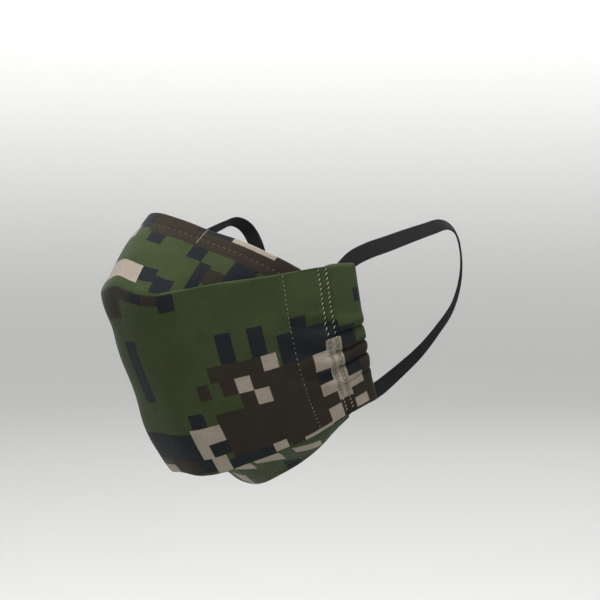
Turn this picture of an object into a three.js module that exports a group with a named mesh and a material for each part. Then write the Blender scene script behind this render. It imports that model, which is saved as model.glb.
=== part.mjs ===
// A sewn cloth face mask of the folded, boat-shaped kind, in the shape it takes when it is worn:
// a wide centre panel over the mouth, a nose panel folded up from it, a chin panel folded
// under it, a channel down each side, and a flat elastic ear loop threaded through each channel.
//
// Millimetres, +Z up. The wearer looks along -Y and has the left ear at +X.
// The origin is the middle of the top edge, where it rests on the bridge of the nose.

import * as THREE from 'three';

// ---- driving dimensions ----------------------------------------------------------------------

const CLOTH = 0.5;              // thickness of one layer of cloth
const GAP = 0.3;                // air between two layers that lie on each other
const LAYER = CLOTH + GAP;      // from one layer's face to the next one's
const TUCK = 2.2;               // how far the nose and chin panels sit inside the centre panel

const CHANNEL_SHARE = 0.068;    // share of the centre panel's width that each side channel takes
const CHANNEL_ROOM = 3.0;       // clear depth inside a channel, for the elastic and its lap
const CHANNEL_DEPTH = CHANNEL_ROOM + 2 * CLOTH;

const ELASTIC_WIDTH = 8;
const ELASTIC_THICK = 1.0;
const ELASTIC_INSET = 5.4;      // from the channel's rear edge to the elastic's middle line
const LAP = [0.36, 0.66];       // where the elastic's ends lap, as shares of the channel's length

const WIRE_LENGTH = 56;
const WIRE_WIDTH = 5;
const WIRE_THICK = 0.8;
const NOSE_HEM = 9;             // width of the turned hem along the nose panel's top edge
const CHIN_HEM = 7;             // width of the turned hem along the chin panel's free edge

// ---- edges, each from the middle of the mask to its left side --------------------------------

const TOP_EDGE = [[0, 0, 0], [5, 0.4, -0.3], [10, 2.5, -1.8], [15, 6.5, -4], [21, 13, -7.5],
  [30, 20.5, -11.5], [42, 28, -16.5], [50.5, 35.5, -21.5], [54.5, 41, -25.5], [56.5, 45, -28.5]];

const UPPER_FOLD = [[0, -26, -34.5], [8, -25.5, -36.5], [14, -23.5, -38.3], [21, -18.5, -39],
  [27, -11.5, -37.3], [34, 0, -34.6], [43, 15, -32.2], [53, 31.5, -29.5], [61, 47, -26.5],
  [68, 68, -24.5]];

const UPPER_MIDDLE = [[0, -19, -68], [10, -17.5, -68], [21, -10, -68], [32, 5, -64.5],
  [45, 25, -59.5], [57, 43, -54], [64, 58, -50], [69, 71.5, -48]];

const LOWER_MIDDLE = [[0, -1.5, -101], [11, 0, -101], [21, 6, -100], [33, 20, -96],
  [45, 37, -91], [56, 53, -84], [63, 66, -78], [68, 77.5, -72]];

const LOWER_FOLD = [[0, 17, -128.5], [10, 18.5, -129.5], [20, 25, -127.5], [32, 36, -121.5],
  [44, 48, -115], [54, 60, -107], [61.5, 73, -98], [65, 86, -91.5]];

const UNDER_CHIN = [[0, 40, -128], [10, 40, -127.5], [20, 43, -125.5], [32, 50, -121],
  [43, 57.5, -114.5], [51.5, 66, -106], [57, 74, -99]];

const CHIN_EDGE = [[0, 60, -139], [10, 59.5, -137.5], [20, 61, -133], [32, 65.5, -125.5],
  [42, 69, -117], [49, 72.5, -108.5], [54.5, 77, -101.5]];

// ---- the left ear loop: its middle line round the ear, and the way its flat side faces -------
// It starts just above its channel's upper mouth and ends just behind the channel's rear edge.

const LOOP_ROUTE = [[66.8, 66, -19], [70, 74.5, -16.5], [73, 84, -13.8], [76, 95, -10.5],
  [79, 107, -7.5], [80.5, 117, -6.5], [80, 125, -10], [78.5, 131, -20], [76.5, 133, -34],
  [75, 129, -48], [73.5, 119, -60], [71.5, 109, -70], [69.3, 99, -77.8], [67, 91.5, -83]];
const LOOP_FACING = [[0.94, -0.34, 0], [0.95, -0.2, 0.2], [0.8, -0.1, 0.6], [0.6, 0.2, 0.75],
  [0.8, 0.6, 0.2], [0.85, 0.5, -0.1], [0.95, -0.1, -0.2], [0.94, -0.34, 0]];

// ---- edges and surfaces ----------------------------------------------------------------------

// The whole edge, right side to left, through an edge's points and their mirror images.
function wholeEdge(half) {
  const left = half.map(([x, y, z]) => new THREE.Vector3(x, y, z));
  const right = half.slice(1).reverse().map(([x, y, z]) => new THREE.Vector3(-x, y, z));
  const curve = new THREE.CatmullRomCurve3([...right, ...left]);
  curve.arcLengthDivisions = 400;
  return curve;
}

// The surface through some edges: s runs from the right side to the left, t from the first
// edge to the last.
function surfaceThrough(edges) {
  const curves = edges.map(wholeEdge);
  return (s, t) => {
    const rungs = curves.map((curve) => curve.getPointAt(s));
    return new THREE.CatmullRomCurve3(rungs, false, 'chordal').getPoint(t);
  };
}

// The point at a depth under the surface, measured along its normal towards the face.
function under(surface, s, t, depth) {
  const step = 0.004;
  const low = (value) => Math.max(value - step, 0);
  const high = (value) => Math.min(value + step, 1);
  const along = surface(high(s), t).sub(surface(low(s), t));
  const down = surface(s, high(t)).sub(surface(s, low(t)));
  const outward = down.cross(along).normalize();
  return surface(s, t).addScaledVector(outward, -depth);
}

const steps = (from, to, count) => Array.from({ length: count + 1 },
  (_, i) => THREE.MathUtils.lerp(from, to, i / count));

// ---- closed solids ---------------------------------------------------------------------------

// Six times the volume inside the triangles, negative where they face inwards.
function signedVolume(points, index) {
  let sum = 0;
  for (let i = 0; i < index.length; i += 3) {
    const [a, b, c] = [points[index[i]], points[index[i + 1]], points[index[i + 2]]];
    sum += a.dot(b.clone().cross(c));
  }
  return sum;
}

function closedGeometry(points, index) {
  const outwards = signedVolume(points, index) > 0 ? index : index.toReversed();
  const geometry = new THREE.BufferGeometry().setFromPoints(points);
  geometry.setIndex(outwards);
  geometry.computeVertexNormals();
  return geometry;
}

// Triangles that join each ring of points to the next one.
function wallBetween(rings, first, index, turned) {
  const count = rings[0].length;
  for (let r = 0; r + 1 < rings.length; r += 1) {
    for (let k = 0; k < count; k += 1) {
      const a = first + r * count + k;
      const b = first + r * count + (k + 1) % count;
      const quad = [a, b, b + count, a, b + count, a + count];
      index.push(...(turned ? quad.reverse() : quad));
    }
  }
}

// A solid bar: every ring is a front row followed by the back row read backwards, so each
// end closes with one quad per pair of neighbours.
function barGeometry(rings) {
  const count = rings[0].length;
  const last = (rings.length - 1) * count;
  const index = [];
  wallBetween(rings, 0, index, false);
  for (let k = 0; k + 1 < count / 2; k += 1) {
    const [a, b, c, d] = [k, k + 1, count - 2 - k, count - 1 - k];
    index.push(c, b, a, d, c, a, last + a, last + b, last + c, last + a, last + c, last + d);
  }
  return closedGeometry(rings.flat(), index);
}

// An open-ended sleeve: the outer rings and the inner rings of its wall.
function sleeveGeometry(outer, inner) {
  const count = outer[0].length;
  const first = outer.length * count;
  const last = (outer.length - 1) * count;
  const index = [];
  wallBetween(outer, 0, index, false);
  wallBetween(inner, first, index, true);
  for (let k = 0; k < count; k += 1) {
    const next = (k + 1) % count;
    const [a, b, c, d] = [k, next, first + next, first + k];
    index.push(a, c, b, a, d, c);
    index.push(last + a, last + b, last + c, last + a, last + c, last + d);
  }
  return closedGeometry([...outer.flat(), ...inner.flat()], index);
}

// One layer of cloth that follows a surface, from one depth under it to another.
function layerGeometry(surface, { s, t, depth, cells }) {
  const rows = steps(t[0], t[1], cells[1]);
  const rings = steps(s[0], s[1], cells[0]).map((at) => [
    ...rows.map((row) => under(surface, at, row, depth[0])),
    ...rows.toReversed().map((row) => under(surface, at, row, depth[1])),
  ]);
  return barGeometry(rings);
}

function mirrored(geometry) {
  const copy = geometry.clone().scale(-1, 1, 1);
  copy.setIndex([...geometry.index.array].reverse());
  copy.computeVertexNormals();
  return copy;
}

// ---- materials -------------------------------------------------------------------------------

const finish = (color, roughness, metalness = 0) => () => new THREE.MeshStandardMaterial(
  { color, roughness, metalness });
const camoCloth = finish(0x48602f, 0.85);
const liningCloth = finish(0x23262a, 0.9);
const blackElastic = finish(0x16161a, 0.8);
const softAluminium = finish(0xb9bcc0, 0.4, 1);

const mask = new THREE.Group();
function add(parent, name, geometry, material) {
  const mesh = new THREE.Mesh(geometry, material());
  mesh.name = name;
  parent.add(mesh);
}

// ---- centre panel ----------------------------------------------------------------------------

const centre = surfaceThrough([UPPER_FOLD, UPPER_MIDDLE, LOWER_MIDDLE, LOWER_FOLD]);
const panelWidth = wholeEdge(UPPER_FOLD).getLength();
const seam = GAP / panelWidth;
const panelSpan = [CHANNEL_SHARE + seam, 1 - CHANNEL_SHARE - seam];
const outerLayer = [0, CLOTH];
const innerLayer = [LAYER, LAYER + CLOTH];

add(mask, 'center_panel_outer', layerGeometry(centre,
  { s: panelSpan, t: [0, 1], depth: outerLayer, cells: [30, 8] }), camoCloth);
add(mask, 'center_panel_lining', layerGeometry(centre,
  { s: panelSpan, t: [0.01, 0.99], depth: innerLayer, cells: [30, 8] }), liningCloth);

// ---- nose panel: from the top edge down to just inside the centre panel's upper fold ---------

const topEdge = wholeEdge(TOP_EDGE);
const noseSpan = [0.125, 0.875];    // the stretch of the upper fold that the nose panel meets
const foldOverlap = 0.02;           // how far it goes below the fold, as a share of the panel
const nose = (s, t) => {
  const at = THREE.MathUtils.lerp(noseSpan[0], noseSpan[1], s);
  return topEdge.getPointAt(s).lerp(under(centre, at, foldOverlap, TUCK), t);
};
const noseHeight = nose(0.5, 0).distanceTo(nose(0.5, 1));
const hemShare = NOSE_HEM / noseHeight;
const topLength = topEdge.getLength();
const hemSpan = [0.03, 0.97];
const wireDepth = LAYER + WIRE_THICK;
const centredShare = (length, whole) => [0.5 - length / whole / 2, 0.5 + length / whole / 2];

const nosePanel = new THREE.Group();
mask.add(nosePanel);
add(nosePanel, 'nose_panel_outer', layerGeometry(nose,
  { s: [0, 1], t: [0, 1], depth: outerLayer, cells: [28, 4] }), camoCloth);
add(nosePanel, 'nose_panel_lining', layerGeometry(nose,
  { s: [0.01, 0.99], t: [hemShare + 0.02, 0.99], depth: innerLayer, cells: [28, 3] }), liningCloth);
add(nosePanel, 'nose_wire', layerGeometry(nose, {
  s: centredShare(WIRE_LENGTH, topLength),
  t: [hemShare * 0.22, hemShare * 0.22 + WIRE_WIDTH / noseHeight],
  depth: [LAYER, wireDepth],
  cells: [20, 1],
}), softAluminium);
add(nosePanel, 'nose_wire_channel', layerGeometry(nose, {
  s: hemSpan, t: [0.01, hemShare], depth: [wireDepth + GAP, wireDepth + LAYER], cells: [26, 1],
}), camoCloth);

// ---- chin panel: from just inside the lower fold, under the chin, to its free edge -----------

const chinTop = (s) => under(centre, THREE.MathUtils.lerp(0.11, 0.89, s), 0.97, TUCK);
const underChin = wholeEdge(UNDER_CHIN);
const chinEdge = wholeEdge(CHIN_EDGE);
const chin = (s, t) => new THREE.CatmullRomCurve3(
  [chinTop(s), underChin.getPointAt(s), chinEdge.getPointAt(s)], false, 'chordal').getPoint(t);
const chinHeight = chin(0.5, 0).distanceTo(chin(0.5, 0.5)) + chin(0.5, 0.5).distanceTo(chin(0.5, 1));
const chinHemTop = 1 - CHIN_HEM / chinHeight;

const chinPanel = new THREE.Group();
mask.add(chinPanel);
add(chinPanel, 'chin_panel_outer', layerGeometry(chin,
  { s: [0, 1], t: [0, 1], depth: outerLayer, cells: [24, 6] }), camoCloth);
add(chinPanel, 'chin_panel_lining', layerGeometry(chin,
  { s: [0.01, 0.99], t: [0.02, chinHemTop - 0.02], depth: innerLayer, cells: [24, 5] }), liningCloth);
add(chinPanel, 'chin_hem', layerGeometry(chin,
  { s: [0.02, 0.98], t: [chinHemTop, 0.99], depth: innerLayer, cells: [24, 1] }), camoCloth);

// ---- side channels and ear loops, made on the left and mirrored ------------------------------

function channelRing(t, inset) {
  const edge = inset / panelWidth;
  const across = steps(1 - CHANNEL_SHARE + edge, 1 - edge, 2);
  return [
    ...across.map((s) => under(centre, s, t, inset)),
    ...across.toReversed().map((s) => under(centre, s, t, CHANNEL_DEPTH - inset)),
  ];
}
const channelRows = steps(0, 1, 10);
const channel = sleeveGeometry(
  channelRows.map((t) => channelRing(t, 0)), channelRows.map((t) => channelRing(t, CLOTH)));

const elasticMiddle = 1 - ELASTIC_INSET / panelWidth;
const elasticHalf = ELASTIC_WIDTH / 2 / panelWidth;
const elasticSpan = [elasticMiddle - elasticHalf, elasticMiddle + elasticHalf];
const elasticDepth = CLOTH + GAP;
const lapDepth = elasticDepth + ELASTIC_THICK + GAP;
const hiddenRun = layerGeometry(centre, {
  s: elasticSpan, t: [0.01, 0.99], depth: [elasticDepth, elasticDepth + ELASTIC_THICK], cells: [1, 10],
});
const lap = layerGeometry(centre, {
  s: elasticSpan, t: LAP, depth: [lapDepth, lapDepth + ELASTIC_THICK], cells: [1, 3],
});

function earLoopGeometry() {
  const route = new THREE.CatmullRomCurve3(LOOP_ROUTE.map((p) => new THREE.Vector3(...p)));
  const facing = new THREE.CatmullRomCurve3(LOOP_FACING.map((p) => new THREE.Vector3(...p)));
  const rings = steps(0, 1, 40).map((u) => {
    const middle = route.getPointAt(u);
    const across = facing.getPointAt(u).cross(route.getTangentAt(u)).normalize();
    const out = route.getTangentAt(u).cross(across).normalize();
    const corner = (side, face) => middle.clone()
      .addScaledVector(across, side * ELASTIC_WIDTH / 2)
      .addScaledVector(out, face * ELASTIC_THICK / 2);
    return [corner(1, 1), corner(-1, 1), corner(-1, -1), corner(1, -1)];
  });
  return barGeometry(rings);
}
const earLoop = earLoopGeometry();

for (const [side, sided] of [['left', (geometry) => geometry], ['right', mirrored]]) {
  add(mask, `side_channel_${side}`, sided(channel), camoCloth);
  add(mask, `ear_elastic_${side}_in_channel`, sided(hiddenRun), blackElastic);
  add(mask, `ear_elastic_${side}_lap`, sided(lap), blackElastic);
  add(mask, `ear_loop_${side}`, sided(earLoop), blackElastic);
}

export default mask;
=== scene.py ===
# %% [markdown]
# # A folded cloth face mask in block camouflage
#
# The real mask is cut from one printed cloth: a wide centre panel, a nose panel folded up from
# it and a chin panel folded under it. Each side is turned over and sewn into a channel, and a
# flat elastic runs through each channel and round the ear. The imported CAD model gives every
# piece its place. Here each one is made again as thin cloth, with its folds, gathers and
# stitches, in metres and in the same frame. The wearer looks along -Y, and has the left ear
# at +X.

# %% Load the frame
import math
import random

import bpy
import numpy as np
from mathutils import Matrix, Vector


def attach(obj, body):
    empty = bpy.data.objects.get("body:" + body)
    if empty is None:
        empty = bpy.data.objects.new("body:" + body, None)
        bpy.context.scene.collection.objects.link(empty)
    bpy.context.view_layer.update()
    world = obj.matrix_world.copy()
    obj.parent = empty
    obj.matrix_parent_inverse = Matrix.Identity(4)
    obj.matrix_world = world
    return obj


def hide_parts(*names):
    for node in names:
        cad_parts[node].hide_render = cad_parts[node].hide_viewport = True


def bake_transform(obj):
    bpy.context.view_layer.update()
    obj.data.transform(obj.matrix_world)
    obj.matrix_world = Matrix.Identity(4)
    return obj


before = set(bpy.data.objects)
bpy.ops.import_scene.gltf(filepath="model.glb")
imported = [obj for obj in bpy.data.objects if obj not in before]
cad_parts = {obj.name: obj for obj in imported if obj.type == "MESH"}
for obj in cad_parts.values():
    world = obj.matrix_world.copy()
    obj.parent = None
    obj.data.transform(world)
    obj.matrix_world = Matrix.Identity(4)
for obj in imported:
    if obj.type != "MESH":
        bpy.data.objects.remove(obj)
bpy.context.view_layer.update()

# %% [markdown]
# ## The camera and the studio
#
# The mask is looked at from its left front, a little above its middle. A long lens from about
# a metre keeps the panels' proportions. It stays in the shape that it has when it is worn, so
# it floats over a wide floor that curves up into a wall. The floor is light grey, so that it
# throws little light up under the chin, and the wall glows faintly, so that it stays pale. A
# broad lamp overhead leaves the underside dark, and two weak ones and a pale sky fill in.

# %% Camera
AZIMUTH, ELEVATION = math.radians(48), math.radians(3)
DISTANCE = 0.95
LOOKED_AT = np.array([0.0464, 0.0516, -0.043])

camera = bpy.data.objects.new("camera", bpy.data.cameras.new("camera"))
bpy.context.scene.collection.objects.link(camera)
towards_camera = np.array([math.sin(AZIMUTH) * math.cos(ELEVATION),
                           -math.cos(AZIMUTH) * math.cos(ELEVATION), math.sin(ELEVATION)])
camera.location = LOOKED_AT + DISTANCE * towards_camera
camera.rotation_euler = (math.pi / 2 - ELEVATION, 0, AZIMUTH)
camera.data.lens = 117
camera.data.sensor_width = 36
bpy.context.scene.camera = camera
print("camera at", [round(x, 3) for x in camera.location])

# %% Colours and node helpers
def linear(red, green, blue):
    """A screen colour, 0 to 255, as the linear light that a shader takes."""
    def light(value):
        value /= 255
        return value / 12.92 if value <= 0.04045 else ((value + 0.055) / 1.055) ** 2.4
    return (light(red), light(green), light(blue), 1.0)


def start_material(name, roughness):
    """A new material: its shader, and two functions that add a node and that join two."""
    material = bpy.data.materials.new(name)
    material.use_nodes = True
    tree = material.node_tree
    shader = tree.nodes["Principled BSDF"]
    shader.inputs["Roughness"].default_value = roughness

    def add(kind, **settings):
        node = tree.nodes.new(kind)
        for key, value in settings.items():
            setattr(node, key, value)
        return node

    return material, shader, add, tree.links.new


# %% Studio
def soft_lamp(name, place, aimed_at, size, power):
    lamp = bpy.data.objects.new(name, bpy.data.lights.new(name, "AREA"))
    lamp.data.size = size
    lamp.data.energy = power
    lamp.location = place
    direction = Vector(aimed_at) - Vector(place)
    lamp.rotation_euler = direction.to_track_quat("-Z", "Y").to_euler()
    bpy.context.scene.collection.objects.link(lamp)


FLOOR_HEIGHT = -0.30
FLOOR_GREY, WALL_WHITE = (182, 182, 181), (246, 246, 245)
WALL_GLOW, FULL_GLOW_HEIGHT = 0.27, 0.5
COVE_RADIUS, COVE_BEND, COVE_TOP = 3.2, 1.3, 4.0


def cove_mesh():
    """A round floor whose rim curves up into a wall, so that no horizon line shows."""
    bend = [(COVE_RADIUS - COVE_BEND + COVE_BEND * math.sin(a),
             FLOOR_HEIGHT + COVE_BEND * (1 - math.cos(a)))
            for a in np.linspace(0, math.pi / 2, 17)]
    profile = [(0.6, FLOOR_HEIGHT), (1.2, FLOOR_HEIGHT), *bend, (COVE_RADIUS, COVE_TOP)]
    turns = 72
    points = [(r * math.cos(2 * math.pi * k / turns), r * math.sin(2 * math.pi * k / turns), z)
              for r, z in profile for k in range(turns)]
    faces = [((i + 1) * turns + k, (i + 1) * turns + (k + 1) % turns,
              i * turns + (k + 1) % turns, i * turns + k)
             for i in range(len(profile) - 1) for k in range(turns)]
    faces.append(tuple(range(turns)))
    mesh = bpy.data.meshes.new("floor")
    mesh.from_pydata(points, [], faces)
    mesh.polygons.foreach_set("use_smooth", [True] * len(mesh.polygons))
    return mesh


def studio_paint():
    """A light grey floor that turns to a faintly glowing white wall higher up."""
    material, shader, add, join = start_material("studio_paint", 0.95)
    place = add("ShaderNodeTexCoord")
    axes = add("ShaderNodeSeparateXYZ")
    join(place.outputs["Object"], axes.inputs[0])
    up_the_wall = add("ShaderNodeMapRange", interpolation_type="SMOOTHSTEP")
    up_the_wall.inputs["From Min"].default_value = FLOOR_HEIGHT
    up_the_wall.inputs["From Max"].default_value = FULL_GLOW_HEIGHT
    join(axes.outputs["Z"], up_the_wall.inputs["Value"])
    # a colour Mix node takes its share at input 0 and its colours at 6 and 7
    paint = add("ShaderNodeMix", data_type="RGBA")
    paint.inputs[6].default_value = linear(*FLOOR_GREY)
    paint.inputs[7].default_value = linear(*WALL_WHITE)
    join(up_the_wall.outputs["Result"], paint.inputs[0])
    join(paint.outputs[2], shader.inputs["Base Color"])
    glow = add("ShaderNodeMath", operation="MULTIPLY")
    glow.inputs[1].default_value = WALL_GLOW
    join(up_the_wall.outputs["Result"], glow.inputs[0])
    shader.inputs["Emission Color"].default_value = (1.0, 1.0, 1.0, 1.0)
    join(glow.outputs[0], shader.inputs["Emission Strength"])
    return material


floor = bpy.data.objects.new("floor", cove_mesh())
bpy.context.scene.collection.objects.link(floor)
floor.data.materials.append(studio_paint())

soft_lamp("overhead_lamp", (0.24, -0.22, 1.0), (0.02, 0.02, -0.05), 0.6, 25)
soft_lamp("front_lamp", (0.5, -1.5, 0.5), (0.02, 0.03, -0.05), 1.0, 1)
soft_lamp("back_lamp", (-0.7, 1.2, 0.9), (0, 0.06, -0.05), 1.0, 5)

sky = bpy.data.worlds.new("pale_sky")
bpy.context.scene.world = sky
sky.use_nodes = True
sky.node_tree.nodes["Background"].inputs["Color"].default_value = (1.0, 1.0, 1.0, 1)
sky.node_tree.nodes["Background"].inputs["Strength"].default_value = 0.66
bpy.context.scene.view_settings.view_transform = "Standard"
print("studio ready, floor at", FLOOR_HEIGHT)

# %% [markdown]
# ## The mask's edges and its centre surface
#
# Four curves run across the mask from side to side: the upper fold, two lines over the mouth,
# and the lower fold. They are the CAD model's own points, in millimetres, with the wearer's
# right side mirrored. A Catmull-Rom curve goes through its points without overshooting. It is
# stepped along by true length, so that cloth laid on it is neither stretched nor bunched.

# %% Curves through points
def catmull_rom(points, power, parts=40):
    """Points along the curve through the given ones; power 0.25 is centripetal, 0.5 chordal."""
    points = np.asarray(points, float)
    first = 2 * points[:1] - points[1:2]
    last = 2 * points[-1:] - points[-2:-1]
    padded = np.concatenate([first, points, last])
    share = np.linspace(0, 1, parts, endpoint=False)[:, None]
    pieces = []
    for k in range(len(points) - 1):
        a, b, c, d = padded[k:k + 4]
        before, between, after = (max(((q - p) ** 2).sum(), 1e-12) ** power
                                  for p, q in ((a, b), (b, c), (c, d)))
        leave = ((b - a) / before - (c - a) / (before + between)) * between + (c - b)
        arrive = (c - b) + ((d - c) / after - (d - b) / (between + after)) * between
        pieces.append(b + leave * share + (3 * (c - b) - 2 * leave - arrive) * share ** 2
                      + (2 * (b - c) + leave + arrive) * share ** 3)
    return np.concatenate([*pieces, points[-1:]])


def lengths_along(line):
    """The distance from the line's start to each of its points."""
    return np.concatenate([[0], np.cumsum(np.linalg.norm(np.diff(line, axis=0), axis=1))])


def at_length(line, lengths):
    """The points of a line at these distances from its start."""
    along = lengths_along(line)
    return np.stack([np.interp(lengths, along, line[:, k]) for k in range(3)], axis=-1)


def whole_edge(half):
    """The edge from the right side to the left, from its left half's points."""
    left = np.array(half, float)
    right = left[:0:-1] * [-1, 1, 1]
    return catmull_rom(np.concatenate([right, left]), 0.25)


def smooth_step(low, high, value):
    share = np.clip((np.asarray(value, float) - low) / (high - low), 0, 1)
    return share * share * (3 - 2 * share)


# %% The edges of the centre panel
UPPER_FOLD = [[0, -26, -34.5], [8, -25.5, -36.5], [14, -23.5, -38.3], [21, -18.5, -39],
              [27, -11.5, -37.3], [34, 0, -34.6], [43, 15, -32.2], [53, 31.5, -29.5],
              [61, 47, -26.5], [68, 68, -24.5]]
UPPER_MIDDLE = [[0, -19, -68], [10, -17.5, -68], [21, -10, -68], [32, 5, -64.5],
                [45, 25, -59.5], [57, 43, -54], [64, 58, -50], [69, 71.5, -48]]
LOWER_MIDDLE = [[0, -1.5, -101], [11, 0, -101], [21, 6, -100], [33, 20, -96],
                [45, 37, -91], [56, 53, -84], [63, 66, -78], [68, 77.5, -72]]
LOWER_FOLD = [[0, 17, -128.5], [10, 18.5, -129.5], [20, 25, -127.5], [32, 36, -121.5],
              [44, 48, -115], [54, 60, -107], [61.5, 73, -98], [65, 86, -91.5]]
centre_edges = [whole_edge(e) for e in (UPPER_FOLD, UPPER_MIDDLE, LOWER_MIDDLE, LOWER_FOLD)]

HALF_WIDTH = 127.1          # of the centre panel, along the cloth
CENTRE_HEIGHT = 106.0       # of the centre panel, from fold to fold at its middle


def through_rungs(edges, across, down):
    """The surface through some edges, at shares across (n) and down (m): an n by m by 3 grid."""
    rungs = np.stack([at_length(e, across * lengths_along(e)[-1]) for e in edges], axis=1)
    parts = 60
    where = np.asarray(down) * (len(edges) - 1) * parts
    columns = [catmull_rom(rung, 0.5, parts) for rung in rungs]
    return np.stack([[np.interp(where, np.arange(len(c)), c[:, k]) for k in range(3)]
                     for c in columns]).transpose(0, 2, 1)


def outward_of(grid):
    """Unit vectors that point out of the mask, at every point of an across-by-down grid."""
    across, down = np.gradient(grid, axis=0), np.gradient(grid, axis=1)
    normal = np.cross(down, across)
    return normal / np.maximum(np.linalg.norm(normal, axis=-1, keepdims=True), 1e-9)


print("upper fold", round(lengths_along(centre_edges[0])[-1], 1), "mm along")

# %% [markdown]
# ## The print
#
# The cloth is printed in square blocks of about 8 mm, in green, dark brown, near-black navy and
# a pinkish tan. A picture could hold it, but a picture has to be stretched over folds, and it
# blurs. Here the cloth's mesh has its lines on a quarter of a half block, so that no face ever
# crosses a block's border, and each face takes one colour. The design is a short list of
# rectangles, counted in half blocks from the middle of the upper fold: across to the wearer's
# left, and down. The same list is printed again one repeat to the right, as a real roll of
# cloth repeats, over a few blocks scattered at random from a fixed seed.

# %% The camouflage's colours and rectangles
HALF_BLOCK = 4.1
PRINT_OFFSET = 0.8          # the print's lines lie this far below the fold
GREEN, BROWN, NAVY, TAN = range(4)
INKS = np.array([linear(41, 52, 25), linear(31, 25, 16), linear(11, 16, 21),
                 linear(129, 120, 109)])

CENTRE_PRINT = {
    BROWN: [(-3, 0, 0.5, 4), (0.5, 0, 2.5, 1.5), (4, 0, 6, 1.5), (10, 11, 17, 13), (8, 13, 9.5, 15),
            (11, 13, 13, 15), (13, 15, 15, 17), (15, 13, 23.5, 25), (9, 17, 15, 25),
            (23, 20, 25.5, 22.5), (23.5, 25.5, 25.5, 26), (25.5, 22, 27.5, 26),
            (27.5, 13, 31.5, 15), (27.5, 20.5, 29.5, 23), (29.5, 14, 32, 26.5),
            (27, 25, 31, 26.5), (0, 23, 4, 26), (17, 24, 19, 26)],
    NAVY: [(2.5, 0, 4, 1.5), (6, 0, 8, 2.5), (-0.5, 7, 1.5, 15),
           (12, 7, 14, 11), (16, 7, 18, 11), (21.5, 7, 23.5, 9), (19.5, 9, 25.5, 13),
           (25.5, 9, 27.5, 11.5), (27.5, 10, 29.5, 13), (23.5, 15.5, 25.5, 17.5),
           (27.5, 15, 29.5, 18), (30, 4, 31.5, 6.5), (5.5, 16.5, 7.5, 18.5), (6.5, 21, 9, 23),
           (-5, 19, 5, 23), (4, 23, 6, 25), (8, 24, 14.5, 26)],
    TAN: [(17, 11, 19, 13), (13, 13, 15, 15), (15, 15, 17, 17), (23.5, 13, 25.5, 15.5),
          (25.5, 11.5, 27.5, 22), (23.5, 17.5, 25.5, 20), (23.5, 22.5, 25.5, 25.5),
          (27.5, 18, 29.5, 20.5), (27.5, 23, 29.5, 25), (5, 18.5, 9, 21), (5, 21, 6.5, 23),
          (6, 23, 8, 25.5), (14.5, 24, 16.5, 25.5), (19, 25, 23.5, 26), (-5, 24, 0, 26.5)],
    GREEN: [(9.5, 13, 11, 15), (9, 15, 13, 17)],
}
NOSE_PRINT = {
    BROWN: [(1, -14.6, 26, -9), (10.5, -6.5, 12.5, -4)],
    NAVY: [(-4, -14.6, 1, -9.5), (6, -14.6, 10.5, -11.5), (1.5, -9, 3.5, -7.5),
           (7, -9, 9, -7), (9, -7, 10.5, -1.5), (12.5, -9, 15.5, -3.5),
           (3, -4, 5, -2), (5, -3, 7.5, -0.5)],
    TAN: [(10.5, -14.6, 16, -11.5), (-5, -4, 3, -1.5), (-5, -10, -1, -8)],
}
REPEAT = 36                 # half blocks from one repeat of the design to the next

# %% Print the cloth
FIRST_CELL = np.array([-80, -40])       # quarter cells are named from this corner
CELLS = (160, 100)                      # in halves of a half block


def scatter_blocks(cells, seed, count):
    """Small clusters of blocks in the other three inks, as a base for what the list leaves."""
    draw = random.Random(seed)
    for _ in range(count):
        ink = draw.choice([BROWN, NAVY, TAN])
        x, y = draw.randrange(0, CELLS[0] // 4) * 4, draw.randrange(0, CELLS[1] // 4) * 4
        for _ in range(draw.randint(1, 3)):
            wide, high = draw.choice([4, 4, 8]), draw.choice([4, 4, 8])
            cells[x:x + wide, y:y + high] = ink
            x, y = max(x + draw.choice([-4, 4]), 0), max(y + draw.choice([-4, 4]), 0)


def stamp(cells, design, shift):
    for ink, rectangles in design.items():
        for left, top, right, bottom in rectangles:
            x0, x1 = (round((e + shift[0]) * 2) - FIRST_CELL[0] for e in (left, right))
            y0, y1 = (round((e + shift[1]) * 2) - FIRST_CELL[1] for e in (top, bottom))
            cells[max(x0, 0):max(x1, 0), max(y0, 0):max(y1, 0)] = ink


def printed_cells(seed, designs):
    """The ink of each half half-block of cloth, from clusters and then the listed rectangles."""
    cells = np.full(CELLS, GREEN)
    scatter_blocks(cells, seed, 26)
    left, right = np.array([-5, 32]) * 2 - FIRST_CELL[0]
    cells[left:right, 2:] = GREEN           # the listed side has no scattered blocks
    for design, shift in designs:
        stamp(cells, design, shift)
    return cells


def ink_at(cells, u, v):
    """The ink at cloth positions in millimetres."""
    x = np.floor(u / HALF_BLOCK * 2 + 1e-6).astype(int) - FIRST_CELL[0]
    y = np.floor((v - PRINT_OFFSET) / HALF_BLOCK * 2 + 1e-6).astype(int) - FIRST_CELL[1]
    return cells[np.clip(x, 0, CELLS[0] - 1), np.clip(y, 0, CELLS[1] - 1)]


main_print = printed_cells(5, [(CENTRE_PRINT, (-REPEAT, 2)), (NOSE_PRINT, (-REPEAT + 4, 0)),
                               (CENTRE_PRINT, (0, 0)), (NOSE_PRINT, (0, 0))])
print("ink shares", [round(float((main_print == ink).mean()), 2) for ink in range(4)])

# %% [markdown]
# ## The centre and nose panels as one piece of cloth
#
# On the real mask one piece of cloth runs from the hem over the nose, round the upper fold and
# down over the mouth, and its sides are turned over into the channels. So it is one mesh: a
# grid with one point for each quarter of a half block of cloth. Towards the sides the nose
# panel doesn't stop at the fold. It dives behind the centre panel, turns in a hidden valley
# and comes up again at its hem, which is what makes the sharp ridge. Rolling the corner off
# with a blur along the cloth gives an open, rounded fold at the front and a crisp one at
# the sides.

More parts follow.
